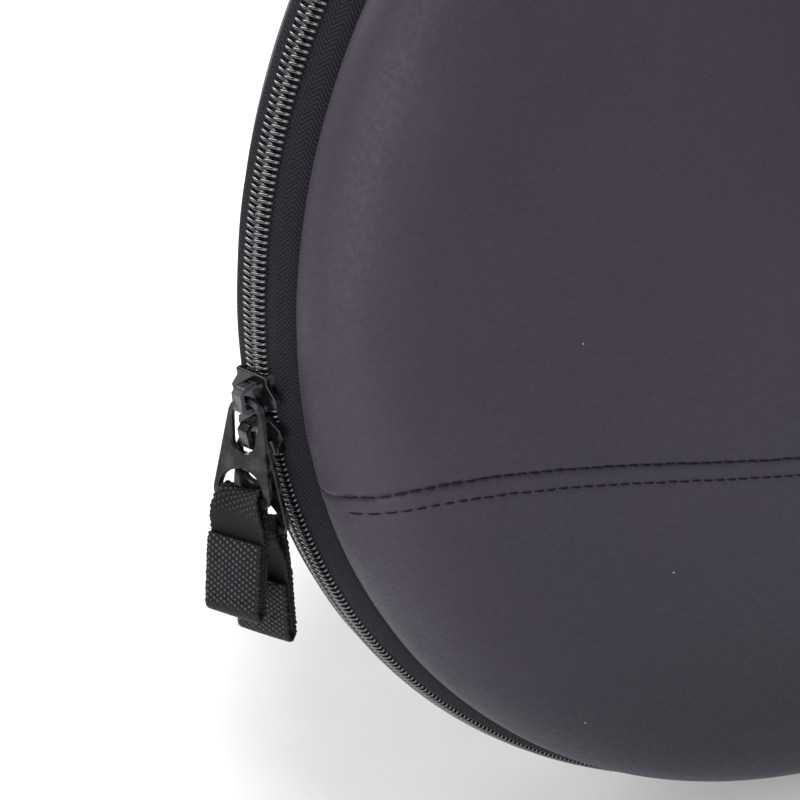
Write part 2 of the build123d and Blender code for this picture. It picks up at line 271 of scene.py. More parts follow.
def blend_colour(tree, factor, a, b):
    node = add(tree, "ShaderNodeMix", data_type="RGBA")
    for socket, value in (("Factor_Float", factor), ("A_Color", a), ("B_Color", b)):
        target = next(s for s in node.inputs if s.identifier == socket)
        if isinstance(value, bpy.types.NodeSocket):
            tree.links.new(value, target)
        else:
            target.default_value = value if isinstance(value, float) else (*value, 1.0)
    return next(s for s in node.outputs if s.identifier == "Result_Color")


def noise(tree, coords, scale, detail=2.0, rough=0.5):
    return add(
        tree, "ShaderNodeTexNoise", {"Vector": coords, "Scale": scale, "Detail": detail, "Roughness": rough}
    ).outputs["Fac"]


def object_space(tree):
    return add(tree, "ShaderNodeTexCoord").outputs["Object"]


def cloth_space(tree):
    """Along and across the cloth, in millimetres."""
    vector = add(tree, "ShaderNodeAttribute", attribute_name="cloth").outputs["Vector"]
    split = add(tree, "ShaderNodeSeparateXYZ", {"Vector": vector})
    return vector, split.outputs[0], split.outputs[1], split.outputs[2]


def new_material(name, **uniform):
    material = bpy.data.materials.new(name)
    material.use_nodes = True
    shader = material.node_tree.nodes["Principled BSDF"]
    for key, value in uniform.items():
        shader.inputs[key.replace("_", " ")].default_value = value
    return material, material.node_tree, shader


def bumped(tree, shader, height, distance, strength=1.0):
    bump = add(tree, "ShaderNodeBump", {"Height": height, "Distance": distance, "Strength": strength})
    tree.links.new(bump.outputs[0], shader.inputs["Normal"])


def shell_fabric():
    """Soft-touch coated fabric: matt, faintly purple, fine grain and a little lint."""
    material, tree, shader = new_material(
        "coated_fabric", Sheen_Weight=0.07, Sheen_Roughness=0.35, Specular_IOR_Level=0.30
    )
    shader.inputs["Sheen Tint"].default_value = (0.88, 0.80, 1.0, 1)
    shader.inputs["Specular Tint"].default_value = (0.94, 0.88, 1.0, 1)
    where = object_space(tree)
    cloud = noise(tree, where, 16.0, 3.0)
    grain = noise(tree, where, 2600.0, 2.0, 0.6)
    pebble = noise(tree, where, 900.0, 2.0, 0.5)
    fleck = add(tree, "ShaderNodeTexVoronoi", {"Vector": where, "Scale": 120.0})
    chance = add(tree, "ShaderNodeSeparateColor", {"Color": fleck.outputs["Color"]}).outputs[0]
    rare = ramp(tree, chance, 0.80, 0.84)
    lint = calc(tree, "MULTIPLY", ramp(tree, fleck.outputs["Distance"], 0.034, 0.016), rare)
    base = blend_colour(tree, ramp(tree, cloud, 0.3, 0.7), (0.0172, 0.0140, 0.0213), (0.0218, 0.0178, 0.0268))
    base = blend_colour(tree, ramp(tree, grain, 0.35, 0.65, 0.0, 0.35), base, (0.034, 0.028, 0.041))
    tree.links.new(blend_colour(tree, lint, base, (0.42, 0.41, 0.43)), shader.inputs["Base Color"])
    tree.links.new(ramp(tree, pebble, 0.3, 0.7, 0.50, 0.62), shader.inputs["Roughness"])
    height = calc(tree, "ADD", calc(tree, "MULTIPLY", grain, 0.5), pebble)
    bumped(tree, shader, calc(tree, "ADD", height, calc(tree, "MULTIPLY", lint, 2.0)), 0.00005)
    return material


def ripples(tree, distance, pitch):
    """Even sine ripples, 0 to 1."""
    wave = calc(tree, "SINE", calc(tree, "MULTIPLY", distance, 2 * pi / pitch))
    return calc(tree, "MULTIPLY_ADD", wave, 0.5, 0.5)


def herringbone(tree, along, across, band, pitch, steep=1.0):
    """Height of a herringbone weave, 0 to 1."""
    zigzag = calc(tree, "PINGPONG", across, band)
    ridge = calc(tree, "MULTIPLY", calc(tree, "MULTIPLY_ADD", zigzag, steep, along), 2 * pi / pitch)
    return calc(tree, "MULTIPLY_ADD", calc(tree, "SINE", ridge), 0.5, 0.5)


def tape_fabric():
    material, tree, shader = new_material("zip_tape", Specular_IOR_Level=0.12)
    vector, along, across, _ = cloth_space(tree)
    weave = herringbone(tree, along, across, 1.8, 0.95, 1.1)
    picks = ripples(tree, across, 0.36)
    fibre = noise(tree, vector, 5.0, 3.0, 0.6)
    height = calc(tree, "MULTIPLY_ADD", picks, 0.35, weave)
    height = calc(tree, "MULTIPLY_ADD", fibre, 0.35, height)
    raised = ramp(tree, height, 0.35, 1.4)
    colour = blend_colour(tree, raised, (0.0028, 0.0026, 0.0042), (0.0165, 0.0156, 0.0210))
    tree.links.new(colour, shader.inputs["Base Color"])
    tree.links.new(ramp(tree, fibre, 0.3, 0.7, 0.55, 0.8), shader.inputs["Roughness"])
    bumped(tree, shader, height, 0.00014)
    return material


def coil_nylon():
    material, tree, shader = new_material(
        "coil_nylon", Specular_IOR_Level=0.8, Coat_Weight=0.5, Coat_Roughness=0.05
    )
    where = object_space(tree)
    wear = noise(tree, where, 700.0, 2.0)
    tree.links.new(
        blend_colour(tree, ramp(tree, wear, 0.3, 0.8), (0.0040, 0.0038, 0.0055), (0.0110, 0.0105, 0.0140)),
        shader.inputs["Base Color"],
    )
    tree.links.new(ramp(tree, wear, 0.3, 0.7, 0.12, 0.22), shader.inputs["Roughness"])
    bumped(tree, shader, noise(tree, where, 3000.0), 0.00001)
    return material


def enamel():
    """Black stoved enamel with light rubbing on its sharp edges."""
    material, tree, shader = new_material("black_enamel", Specular_IOR_Level=0.3)
    where = object_space(tree)
    orange_peel = noise(tree, where, 1300.0, 2.0, 0.5)
    smear = noise(tree, where, 260.0, 3.0, 0.6)
    edge = add(tree, "ShaderNodeNewGeometry").outputs["Pointiness"]
    rubbed = calc(tree, "MULTIPLY", ramp(tree, edge, 0.53, 0.62), ramp(tree, smear, 0.40, 0.65))
    patchy = ramp(tree, smear, 0.3, 0.7)
    colour = blend_colour(tree, patchy, (0.0020, 0.0019, 0.0028), (0.0036, 0.0034, 0.0048))
    tree.links.new(blend_colour(tree, rubbed, colour, (0.07, 0.07, 0.078)), shader.inputs["Base Color"])
    tree.links.new(ramp(tree, smear, 0.25, 0.75, 0.12, 0.20), shader.inputs["Roughness"])
    bumped(tree, shader, orange_peel, 0.00002)
    return material


def webbing_fabric(name, high=0.11):
    """Polyester webbing with a painted highlight: the third cloth value is how strongly each thick-weave knot
    is painted in the light colour high.
    """
    material, tree, shader = new_material(name, Specular_IOR_Level=0.2)
    vector, along, across, coarse = cloth_space(tree)
    fine = ripples(tree, calc(tree, "ADD", along, across), 0.42)
    strand = ripples(tree, across, 0.21)
    fibre = noise(tree, vector, 4.0, 4.0, 0.65)
    height = calc(tree, "MULTIPLY_ADD", strand, 0.5, calc(tree, "MULTIPLY", fine, 0.5))
    height = calc(tree, "MULTIPLY_ADD", fibre, 0.8, height)
    # painted highlight: where the third cloth value (coarse) is high, the knots take the light colour high,
    # standing in for lamp light on them
    painted_knot_highlight = calc(tree, "MULTIPLY", ramp(tree, coarse, 0.30, 0.95), ramp(tree, fibre, 0.35, 0.7, 0.35, 1.0))
    low = blend_colour(tree, ramp(tree, height, 0.5, 1.4), (0.0015, 0.0014, 0.0022), (0.0070, 0.0066, 0.0090))
    colour = blend_colour(tree, painted_knot_highlight, low, (high, high * 0.95, high * 1.08))
    tree.links.new(colour, shader.inputs["Base Color"])
    tree.links.new(ramp(tree, fibre, 0.3, 0.7, 0.42, 0.66), shader.inputs["Roughness"])
    bumped(tree, shader, height, 0.00012)
    return material


def knitted(name, low, high, pitch, roughness):
    material, tree, shader = new_material(name, Sheen_Weight=0.3, Specular_IOR_Level=0.3)
    where = object_space(tree)
    split = add(tree, "ShaderNodeSeparateXYZ", {"Vector": where})
    wales = calc(tree, "SINE", calc(tree, "MULTIPLY", split.outputs[0], 2 * pi / pitch))
    rows = calc(tree, "SINE", calc(tree, "MULTIPLY", split.outputs[2], 2 * pi / pitch))
    knit = calc(tree, "MULTIPLY_ADD", calc(tree, "MULTIPLY", wales, rows), 0.5, 0.5)
    cloud = noise(tree, where, 30.0, 3.0)
    height = calc(tree, "MULTIPLY_ADD", noise(tree, where, 1500.0), 0.6, knit)
    tree.links.new(
        blend_colour(tree, ramp(tree, calc(tree, "MULTIPLY", height, cloud), 0.2, 0.8), low, high),
        shader.inputs["Base Color"],
    )
    uneven = ramp(tree, cloud, 0.3, 0.7, roughness - 0.08, roughness + 0.08)
    tree.links.new(uneven, shader.inputs["Roughness"])
    bumped(tree, shader, height, 0.0001)
    return material


def foam_material():
    material, tree, shader = new_material("closed_cell_foam", Specular_IOR_Level=0.2)
    where = object_space(tree)
    cells = add(tree, "ShaderNodeTexVoronoi", {"Vector": where, "Scale": 1600.0}).outputs["Distance"]
    tree.links.new(
        blend_colour(tree, ramp(tree, cells, 0.1, 0.7), (0.09, 0.09, 0.095), (0.05, 0.05, 0.053)),
        shader.inputs["Base Color"],
    )
    tree.links.new(ramp(tree, cells, 0.0, 0.8, 0.95, 0.75), shader.inputs["Roughness"])
    bumped(tree, shader, cells, -0.0001)
    return material


def thread_material():
    material, tree, shader = new_material("black_thread", Specular_IOR_Level=0.2)
    _, along, across, _ = cloth_space(tree)
    turn = calc(tree, "MULTIPLY", across, 2 * pi)
    ply = calc(tree, "SINE", calc(tree, "MULTIPLY_ADD", along, 2 * pi / 0.55, turn))
    tree.links.new(
        blend_colour(tree, ramp(tree, ply, -1.0, 1.0), (0.0030, 0.0028, 0.0040), (0.0110, 0.0104, 0.0135)),
        shader.inputs["Base Color"],
    )
    tree.links.new(ramp(tree, ply, -1.0, 1.0, 0.7, 0.5), shader.inputs["Roughness"])
    bumped(tree, shader, ply, 0.00005)
    return material


def floor_material():
    # Painted light: the floor glows through its emission. The glow is weaker near the case's foot, which
    # paints a soft shadow around it. The grey base colour lets the glow, not the lamps, set the floor's
    # brightness.
    material, tree, shader = new_material("studio_paper", Specular_IOR_Level=0.1)
    paper = noise(tree, object_space(tree), 60.0, 3.0)
    tree.links.new(
        blend_colour(tree, ramp(tree, paper, 0.3, 0.7), (0.41, 0.41, 0.412), (0.43, 0.43, 0.432)),
        shader.inputs["Base Color"],
    )
    tree.links.new(ramp(tree, paper, 0.3, 0.7, 0.85, 0.95), shader.inputs["Roughness"])
    where = object_space(tree)
    flat = add(tree, "ShaderNodeVectorMath", {0: where, 1: (1.0, 1.0, 0.0)}, operation="MULTIPLY")
    # painted shadow: emission 0.29 within 0.115 m of the case's foot, rising to a full glow of 1.0 beyond 0.2
    # m
    painted_shadow_reach = add(tree, "ShaderNodeVectorMath", {0: flat.outputs[0]}, operation="LENGTH").outputs["Value"]
    tree.links.new(ramp(tree, painted_shadow_reach, 0.115, 0.20, 0.29, 1.0), shader.inputs["Emission Strength"])
    shader.inputs["Emission Color"].default_value = (1, 1, 1, 1)
    return material


SHELL = shell_fabric()
TAPE = tape_fabric()
COIL = coil_nylon()
ENAMEL = enamel()
WEBBING = webbing_fabric("polyester_webbing")
LINING = knitted("lining_knit", (0.030, 0.030, 0.033), (0.062, 0.060, 0.066), 0.0011, 0.8)
BINDING = knitted("binding_braid", (0.012, 0.012, 0.014), (0.040, 0.040, 0.044), 0.0009, 0.7)
FOAM = foam_material()
THREAD = thread_material()

# ---------------------------------------------------------------- shells
FRONT_RIM = [
    (5.9, 6.4), (5.0, 7.1), (4.45, 8.4), (4.5, 10.2), (5.1, 12.6), (6.4, 15.2), (8.8, 18.0),
    (12.2, 20.9), (16.6, 23.3), (21.5, 25.0), (27.0, 26.1),
]
BACK_RIM = [
    (-0.3, -7.2), (-0.55, -8.6), (-0.5, -11.0), (0.3, -14.0), (1.8, -17.2), (4.5, -20.2), (8.8, -22.2),
    (14.5, -23.0), (20.0, -23.1),
]
SEAM_LINE = [(0, -37.0), (45, -33.7), (90, -28.4), (118, -27.2), (136, -31.8), (160, -44.0)]
SEAM_STEP = 4.3
STITCH = 2.65
seam_curve = smooth_line([(-SEAM_LINE[1][0], SEAM_LINE[1][1])] + SEAM_LINE, 600)


def seam_height(x):
    """Height of the upper line of stitches above the head centre."""
    return np.interp(abs(x), seam_curve[:, 0], seam_curve[:, 1])


def seam_offset(x, z):
    """Height above the upper line of stitches."""
    return z - seam_height(x)


def front_detail(x, z, s):
    """Soft shape of the front on top of its plain form, in millimetres outwards."""
    e = seam_offset(x, z)
    low = e + SEAM_STEP
    run = x / STITCH
    pinch = 0.65 - 0.35 * np.cos(2 * pi * run)
    low_pinch = 0.65 - 0.35 * np.cos(2 * pi * (run - 0.45))
    groove = -0.40 * bell(e, 0.55) * pinch - 0.36 * bell(low, 0.55) * low_pinch
    puff = 0.16 * bell(e + SEAM_STEP / 2, 1.6)
    near = np.exp(-abs(e + SEAM_STEP / 2) / 5.5)
    pucker = near * (0.10 * np.sin(x / 2.1 + 0.35 * e) + 0.07 * np.sin(x / 1.3 + 1.7 - 0.3 * e))
    broad = 0.55 * np.sin(x / 31 + z / 47 + 0.6) + 0.40 * np.sin(x / 53 - z / 29 + 2.0)
    dip = -0.9 * bell(np.hypot(x + 118, (z - 6) * 0.8), 16) - 0.5 * bell(np.hypot(x + 92, (z - 60) * 0.6), 26)
    fold = 0.8 * bell((z + 105) * 0.92 - (x + 20) * 0.42, 11) * ease((x + 75) / 70)
    rim = ease((s - 5) / 12) * 1.0
    tug = 0.16 * np.sin((z + 0.4 * x) / 4.3) * bell(s - 10, 7) * ease((x * -1 - 60) / 50)
    return groove + puff + pucker + rim * (broad + dip + fold) + tug


def back_detail(x, z, s):
    return ease((s + 1) / 14) * (0.5 * np.sin(x / 37 - z / 41) + 0.4 * np.sin(x / 61 + z / 33 + 1.0))


def crown(x, z):
    r = np.hypot(x, z)
    return np.where(r < 128, 5.6 * (1 + np.cos(pi * np.minimum(r, 128) / 128)), 0.0)


SEAM_PITCH = 0.85
ABOVE_SEAM = (0.4, 0.8, 1.3, 2.1, 3.2)
BELOW_SEAM = (0.4, 0.8, 1.4, 2.3, 3.2, 3.9, 4.3, 4.7, 5.1, 5.5, 6.1, 7.0, 8.1)


def seam_crossings(line):
    """Where each ring of a panel's rim meets the seam, as a run along the zip line."""
    guess = np.linspace(S_HEAD * 0.5, S_HEAD, 4000)
    x, z, nx, nz = zip_line(guess)
    return [np.interp(0, seam_offset(x - s * nx, z - s * nz), guess) for s in line[:, 0]]


def rim_rings(line, normal, runs, crossing, detail):
    """Rings of points from a panel's edge inwards; on a cut panel all meet the seam at the same column."""
    rings = []
    for k, (s, depth) in enumerate(line):
        here = runs
        if crossing:
            here = np.sign(runs) * np.interp(abs(runs), [0, crossing[0], S_TOP], [0, crossing[k], S_TOP])
        x, z, nx, nz = zip_line(here)
        x, z = x - s * nx, z - s * nz
        out = detail(x, z, s + 0 * x) * ease(k / 5) if detail else 0 * x
        push_s, push_d = normal[k][0] * out, normal[k][1] * out
        rings.append(np.stack([x - push_s * nx, ZIP_Y - (depth + push_d), z - push_s * nz + HEAD_Z], -1))
    return rings


def middle_grid(edge_s, spacing, cut):
    """Even triangle grid inside the rim, kept clear of the seam on a cut panel."""
    count = int(340 / spacing)
    xs, zs = [], []
    for row, z in enumerate(np.arange(-150, TOP, spacing * 0.87)):
        x = (np.arange(-count // 2, count // 2 + 1) + 0.5 * (row % 2)) * spacing
        xs.append(x)
        zs.append(z + 0 * x)
    x, z = np.concatenate(xs), np.concatenate(zs)
    keep = inside(x, z) > edge_s + spacing * 0.55
    if cut:
        keep &= abs(seam_offset(x, z) + SEAM_STEP / 2) > 6.0
    return np.stack([x[keep], z[keep]], -1)


def seam_rows(crossing, edge_s, cut):
    """Points on the seam from rim to rim, and finer rows of points beside it on the kept side."""
    x, _, nx, _ = zip_line(crossing)
    end_x = float(x - edge_s * nx)
    across = np.linspace(-end_x, end_x, int(2 * end_x / SEAM_PITCH) + 1)
    on_seam = np.stack([across[1:-1], seam_height(across[1:-1])], -1)
    rows = []
    for h in ABOVE_SEAM if cut > 0 else BELOW_SEAM:
        x = across[2:-2] + (SEAM_PITCH / 2 if h % 1 > 0.5 else 0)
        rows.append(np.stack([x, seam_height(x) + h * cut], -1))
    beside = np.vstack(rows)
    return on_seam, beside[inside(beside[:, 0], beside[:, 1]) > edge_s + 0.8]


def shell(name, rim, sense, body, material, inset=0.0, spacing=2.2, rings=26, columns=900, thick=1.0,
          detail=None, stands_for=(), cut=0):
    """A panel, its foam or its lining. sense is 1 in front, -1 at the back; cut keeps the side of the seam
    above it (1) or below it (-1)."""
    line = smooth_line(rim, rings)
    step = np.gradient(line, axis=0)
    step /= np.linalg.norm(step, axis=1)[:, None]
    normal = np.stack([-step[:, 1], step[:, 0]], -1) * sense
    line = line - normal * inset
    edge_s, flat = line[-1]

    runs = np.linspace(-S_TOP, S_TOP, columns, endpoint=False)
    crossing = seam_crossings(line) if cut else None
    if cut:
        home = crossing[0]
        right = int(np.argmin(abs(runs - home)))
        runs = runs + (home - runs[right]) * np.where(runs >= 0, 1, 0)
        left = int(np.argmin(abs(runs + home)))
        runs[left] = -home
    rim_points = rim_rings(line, normal, runs, crossing, detail)
    last_ring = np.stack([rim_points[-1][:, 0], rim_points[-1][:, 2] - HEAD_Z], -1)
    rim_points = np.concatenate(rim_points)

    # plan of the middle: the last ring, the seam where there is one, and a grid
    grid = middle_grid(edge_s, spacing, cut)
    seam = np.zeros((0, 2))
    loop = list(range(columns))
    if cut:
        seam, beside = seam_rows(crossing[-1], edge_s, cut)
        grid = np.vstack([grid, beside])
        grid = grid[seam_offset(grid[:, 0], grid[:, 1]) * cut > 0.05]
        loop = loop[left:right + 1] if cut < 0 else loop[right:] + loop[:left + 1]
    seam_ids = list(range(len(loop), len(loop) + len(seam)))
    outline = list(range(len(loop))) + (seam_ids[::-1] if cut < 0 else seam_ids)
    plan = np.vstack([last_ring[loop], seam, grid])
    edges = list(zip(outline, outline[1:] + outline[:1]))
    plan = [Vector(point) for point in plan]
    verts, _, tris, origin, _, _ = delaunay_2d_cdt(plan, edges, [outline], 1, 1e-5)

    x, z = np.array([(v.x, v.y) for v in verts]).T
    s = np.maximum(inside(x, z), edge_s)
    depth = flat + sense * 0.9 * (1 - np.exp(-(s - edge_s) / 9))
    if sense > 0:
        depth = depth + crown(x, z)
    if detail:
        depth = depth + sense * detail(x, z, s)
    middle = np.stack([x, ZIP_Y - depth, z + HEAD_Z], -1)

    # the middle shares the last ring's points
    remap, extra = [], []
    for i, sources in enumerate(origin):
        shared = [k for k in sources if k < len(loop)]
        if shared:
            remap.append((rings - 1) * columns + loop[shared[0]])
        else:
            remap.append(len(rim_points) + len(extra))
            extra.append(middle[i])
    points = np.vstack([rim_points, np.array(extra)])
    faces = []
    for k in range(rings - 1):
        a, b = k * columns, (k + 1) * columns
        for j in loop[:-1] if cut else loop:
            i = (j + 1) % columns
            quad = (a + j, b + j, b + i, a + i)
            faces.append(quad[::-1] if sense > 0 else quad)
    for tri in tris:
        face = tuple(remap[i] for i in tri)
        p, q, r = points[list(face[:3])]
        faces.append(face if np.cross(q - p, r - p)[1] * -sense > 0 else face[::-1])
    used = np.unique(np.concatenate([np.asarray(face) for face in faces]))
    table = np.full(len(points), -1)
    table[used] = np.arange(len(used))
    faces = [tuple(int(table[i]) for i in face) for face in faces]
    return make(name, points[used] * MM, faces, body, material, None, stands_for, thick * MM)


def inner_layers(side, rim, sense):
    """Foam and lining behind the outer fabric of one side."""
    body = f"{side}_shell"
    foam_piece = shell(f"{side}_foam", rim, sense, body, FOAM, inset=1.6, spacing=7, rings=12,
                       columns=240, thick=4.3, stands_for=(f"{side}_padding",))
    shell(f"{side}_lining_cloth", rim, sense, body, LINING, inset=6.3, spacing=5, rings=14,
          columns=300, thick=0.7, detail=back_detail, stands_for=(f"{side}_lining",))


for panel, cut in (("front_lower_panel", -1), ("front_upper_panel", 1)):
    shell(f"{panel}_cloth", FRONT_RIM, 1, "front_shell", SHELL, detail=front_detail,
          stands_for=(panel,), cut=cut)
inner_layers("front", FRONT_RIM, 1)
shell("back_panel_cloth", BACK_RIM, -1, "back_shell", SHELL, spacing=4, rings=18, columns=700,
      detail=back_detail, stands_for=("back_panel",))
inner_layers("back", BACK_RIM, -1)

# ---------------------------------------------------------------- zip tapes and coils
zip_runs = np.linspace(-S_ZIP - 4.0, S_ZIP + 4.0, 900)
front_tape_line = smooth_line(
    [chain(0.45, 0.4), chain(2.9, 0.42), chain(4.3, 0.42), (-2.6, 5.3), (-4.1, 6.5), (-5.6, 7.1)], 14
)
back_tape_line = smooth_line(
    [(0.95, -7.5), (1.75, -6.0), chain(-5.0, 0.42), chain(-3.0, 0.42), chain(-0.45, 0.4)], 14
)


def tape_wave(runs, growth, depth):
    ripple = 0.06 * np.sin(runs / 5.3) + 0.05 * np.sin(runs / 3.1 + 1.0)
    return growth + ripple * 0.5, depth


swept("front_tape_weave", zip_runs, thickened(front_tape_line, 0.7), "front_shell", TAPE,
      stands_for=("front_zip_tape",), wave=tape_wave)
swept("back_tape_weave", zip_runs, thickened(back_tape_line, 0.7), "back_shell", TAPE,
      stands_for=("back_zip_tape",), wave=tape_wave)

PITCH, WIRE = 1.3, 0.345
TURN = [
    (2.62, 0.74), (2.98, 1.12), (2.72, 1.56), (1.90, 1.80), (0.85, 1.90), (-0.15, 1.84), (-0.72, 1.52),
    (-0.80, 1.20), (-0.45, 0.86), (0.40, 0.74), (1.60, 0.70),
]


def parting(run):
    """How far each coil is pushed aside between the two sliders."""
    gap = HEAD_R * radians(90 - 6.7)
    return 1.15 * bell(run + gap, 4.6)


def coil(name, sense, body, node):
    per = len(TURN)
    turns = int(2 * S_ZIP / PITCH)
    index = np.arange(turns * per)
    run = -S_ZIP + (index / per) * PITCH + (PITCH / 2 if sense > 0 else 0.0)
    # the two legs of a turn lean the same way on both sides
    shape = np.array(TURN)[index % per]
    across = sense * (shape[:, 0] + parting(run))
    growth, depth = chain(across, shape[:, 1])
    path = place(run, growth, depth) * 1000
    tangent = np.gradient(path, axis=0)
    tangent /= np.linalg.norm(tangent, axis=1)[:, None]
    _, _, nx, nz = zip_line(run)
    along = np.stack([-nz, 0 * nx, nx], -1)
    first = np.cross(tangent, along)
    first /= np.linalg.norm(first, axis=1)[:, None]
    second = np.cross(tangent, first)
    sides = 6
    angle = np.arange(sides) * 2 * pi / sides
    cosine, sine = np.cos(angle)[None, :, None], np.sin(angle)[None, :, None]
    ring = path[:, None] + WIRE * (first[:, None] * cosine + second[:, None] * sine)
    faces = grid_faces(len(path), sides, columns_close=True)
    faces.append(tuple(range(sides))[::-1])
    last = (len(path) - 1) * sides
    faces.append(tuple(range(last, last + sides)))
    return make(name, ring.reshape(-1, 3) * MM, faces, body, COIL, None, (node,), closed=True)


coil("back_coil_turns", -1, "back_shell", "back_coil")
coil("front_coil_turns", 1, "front_shell", "front_coil")

# ---------------------------------------------------------------- seam threads
front_line = smooth_line(FRONT_RIM, 200)


def front_surface(x, z, lift=0.0):
    """Point of the front panel over x, z, in millimetres."""
    s = inside(x, z)
    rim_depth = np.interp(s, front_line[40:, 0], front_line[40:, 1])
    edge_s, flat = FRONT_RIM[-1]
    depth = np.where(s < edge_s, rim_depth, flat + 0.9 * (1 - np.exp(-np.maximum(s - edge_s, 0) / 9)))
    return np.stack([x, ZIP_Y - depth - crown(x, z) - front_detail(x, z, s) - lift, z + HEAD_Z], -1)


def capsules(name, strands, radius, body, material):
    """Short round-ended threads, each a line of points in millimetres."""
    points, faces, cloth = [], [], []
    sides = 6
    angle = np.arange(sides) * 2 * pi / sides
    for strand in strands:
        strand = np.asarray(strand)
        n = len(strand)
        tangent = np.gradient(strand, axis=0)
        tangent /= np.linalg.norm(tangent, axis=1)[:, None]
        helper = np.where(abs(tangent[:, 1:2]) > 0.8, [[1.0, 0, 0]], [[0, 1.0, 0]])
        first = np.cross(tangent, helper)
        first /= np.linalg.norm(first, axis=1)[:, None]
        second = np.cross(tangent, first)
        t = np.linspace(-1, 1, n)
        size = radius * np.sqrt(np.maximum(1 - t**6, 0.06))
        start = sum(len(p) for p in points)
        ring = strand[:, None] + size[:, None, None] * (
            first[:, None] * np.cos(angle)[None, :, None] + second[:, None] * np.sin(angle)[None, :, None]
        )
        points.append(ring.reshape(-1, 3))
        reach = np.linalg.norm(strand - strand[0], axis=1)
        around = np.tile(angle / (2 * pi), n)
        cloth.append(np.stack([np.repeat(reach, sides), around, np.zeros(n * sides)], -1))
        faces += grid_faces(n, sides, columns_close=True, start=start)
        faces.append(tuple(range(start, start + sides))[::-1])
        faces.append(tuple(range(start + (n - 1) * sides, start + n * sides)))
    points, cloth = np.concatenate(points) * MM, np.concatenate(cloth)
    return make(name, points, faces, body, material, cloth, closed=True)


strands = []
for offset, shift in ((0.0, 0.0), (-SEAM_STEP, 0.45)):
    for k in range(-58, 59):
        x = (k + shift) * STITCH + np.linspace(-0.43, 0.43, 7) * STITCH
        z = seam_height(x) + offset
        if inside(x, z).min() < 5.4:
            continue
        strand = front_surface(x, z, 0.20)
        dive = np.abs(np.linspace(-1, 1, 7)) ** 3 * 0.25
        strand[:, 1] += dive
        strand[:, 2] += rng.normal(0, 0.04)
        strands.append(strand)
capsules("front_seam_threads", strands, 0.21, "front_shell", THREAD)

# ---------------------------------------------------------------- webbing pulls
joints = {joint["name"]: joint for joint in frame["joints"]}


def joint_place(name):
    return np.array(joints[name]["pos_m"], float) * 1000, np.array(joints[name]["axis"], float)


def pull_space(number):
    """Centre of the tab's lower bar, and the directions to the right, up and out of a hanging pull."""
    bar, right = joint_place(f"webbing_{number}_swing")
    top, _ = joint_place("pull_tab_1_flip" if number == 1 else "pull_tab_2_swing")
    up = (top - bar) / np.linalg.norm(top - bar)
    right = right / np.linalg.norm(right)
    face = np.cross(right, up)
    return bar, right, up, face


YARN, PICK, YARN_LAG, SELVEDGE = 0.83, 1.3, 0.37, 20


def weave(across, along):
    """How far a yarn of coarse webbing stands up across its own width, and along its length, each 0 to 1."""
    yarn = (across + SELVEDGE) / YARN
    wave = 0.5 + 0.5 * np.cos(2 * pi * (along / PICK + YARN_LAG * np.floor(yarn)))
    return abs(np.sin(pi * yarn)) ** 0.7, wave


def strap(name, number, path, width, bow, coarse, thickness, body, stands_for, seed=0):
    """Woven strap along a path of (out, up) points, with its own width, bow and weave at each station."""
    bar, right, up, face = pull_space(number)
    line = smooth_line(path, 300)
    rows = len(line)
    t = np.linspace(0, 1, rows)
    reach = np.r_[0, np.cumsum(np.linalg.norm(np.diff(line, axis=0), axis=1))]
    step = np.gradient(line, axis=0)
    step /= np.linalg.norm(step, axis=1)[:, None]
    normal = np.stack([step[:, 1], -step[:, 0]], -1)
    wide = np.interp(t, *zip(*width))
    bowed = np.interp(t, *zip(*bow))
    thick_weave = np.interp(t, *zip(*coarse))
    noise_rng = np.random.default_rng(seed)
    face_columns, edge_columns = 46, 5
    v = np.linspace(-1, 1, face_columns)
    round_edge = np.linspace(pi / 2, -pi / 2, edge_columns + 2)[1:-1]
    points, cloth = [], []
    knots = np.arange(0, rows + 6, 3)
    edge_noise = np.interp(np.arange(rows), knots, noise_rng.normal(0, 0.09, len(knots)))
    for k in range(rows):
        w = wide[k] / 2 + edge_noise[k]
        half = thickness / 2
        along = reach[k]
        section, tex = [], []
        for side in (1, -1):
            for value in (v if side > 0 else v[::-1]):
                across = value * (w - half)
                knot, wave = weave(across, along)
                diag = 0.5 + 0.5 * np.sin(2 * pi * (along + across) / 0.62)
                h = thick_weave[k] * knot * (0.15 + 0.85 * wave) * 0.30 + (1 - thick_weave[k]) * 0.05 * diag
                h -= 0.10 * thick_weave[k]
                section.append((across, side * (half + h)))
                # the third cloth value sets how strongly this point takes the webbing's painted highlight
                tex.append((along, across + SELVEDGE, thick_weave[k] * knot * wave))
            end = w - half
            for a in (round_edge if side > 0 else round_edge[::-1]):
                bump = 0.10 * np.cos(2 * pi * along / 1.25)
                if side > 0:
                    section.append((end + (half + bump) * cos(a), half * sin(a)))
                else:
                    section.append((-end - (half + bump) * cos(a), half * sin(a)))
                # the rounded edges take a fixed share of the painted highlight
                tex.append((along, across + SELVEDGE, 0.35))
        for (across, off), uvw in zip(section, tex):
            sag = bowed[k] * (1 - (across / max(wide[k] / 2, 1)) ** 2)
            out = line[k, 0] + normal[k, 0] * (off + sag)
            high = line[k, 1] + normal[k, 1] * (off + sag)
            points.append(bar + right * across + up * high + face * out)
            cloth.append(uvw)
    columns = len(points) // rows
    faces = grid_faces(rows, columns, columns_close=True)
    faces.append(tuple(range(columns)))
    faces.append(tuple(range((rows - 1) * columns, rows * columns)))
    points, cloth = np.array(points) * MM, np.array(cloth)
    return make(name, points, faces, body, WEBBING, cloth, stands_for, closed=True)


def box_stitch(half, high, low):
    """Corners of a box with crossed diagonals, in sewing order."""
    box = [(-half, high), (half, high), (half, low), (-half, low)]
    return box + [box[0], box[2], box[3], box[1]]


